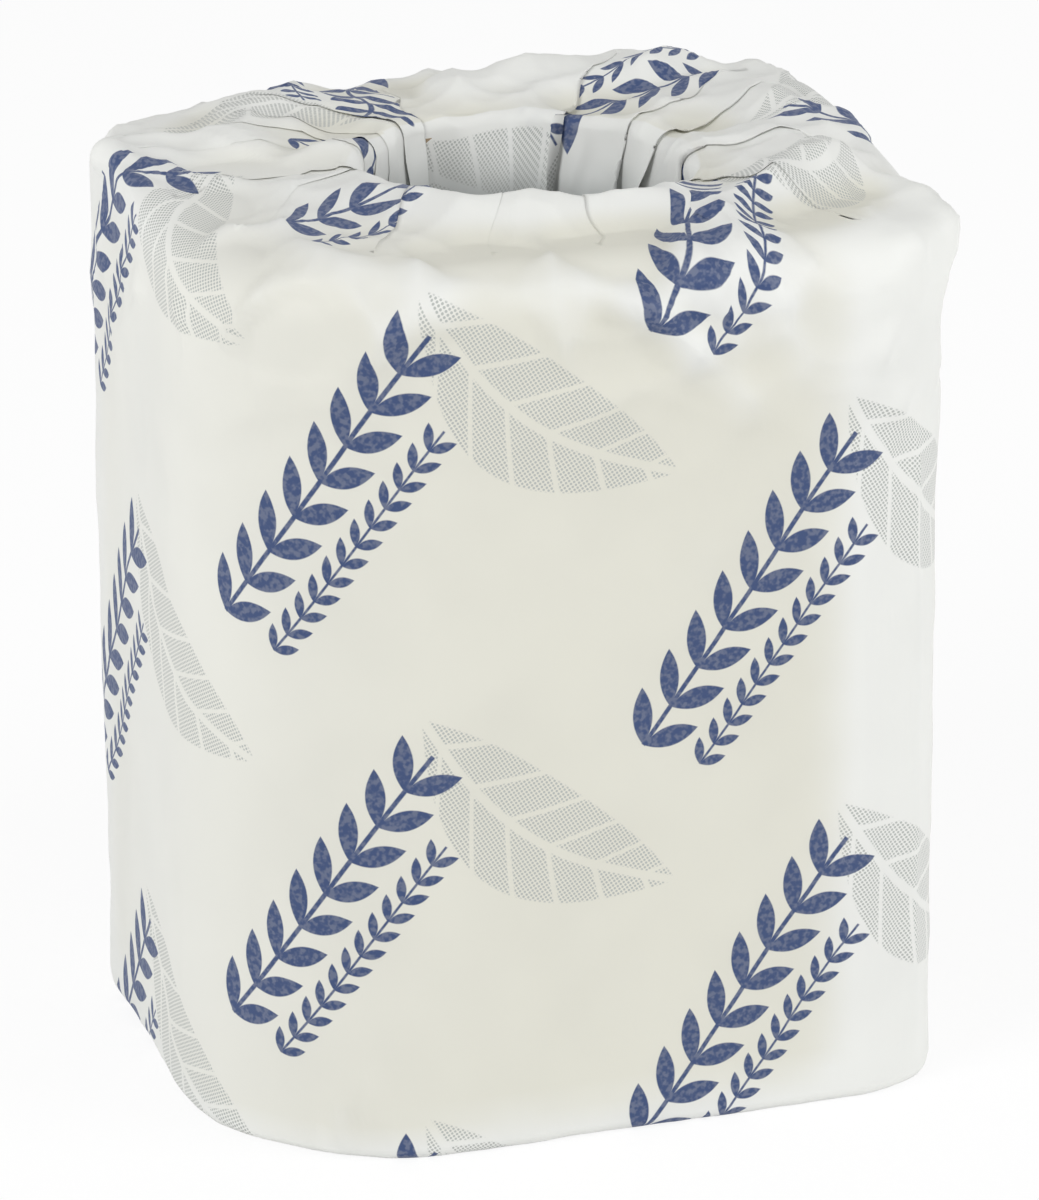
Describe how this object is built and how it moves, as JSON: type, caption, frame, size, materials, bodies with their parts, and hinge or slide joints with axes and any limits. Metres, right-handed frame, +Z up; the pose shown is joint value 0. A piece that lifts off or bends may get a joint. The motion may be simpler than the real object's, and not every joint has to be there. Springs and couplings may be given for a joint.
{
  "type": "toilet paper roll",
  "caption": "A roll of toilet paper on its cardboard tube, in a thin printed paper wrap whose gathered ends are tucked into the hollow.",
  "frame": {"origin": "bottom centre of the wrapped roll's box, on the surface it stands on", "axes": "+Z up along the hollow, X along the wider flat side, front towards -Y"},
  "size_m": [0.0928, 0.084, 0.1159],
  "materials": {
    "wrap_paper": "matte",
    "tissue": "matte",
    "tube_card": "matte"
  },
  "bodies": {
    "root": {"wrapper": "wrap_paper", "tissue_roll": "tissue", "core_tube": "tube_card"}
  },
  "joints": []
}
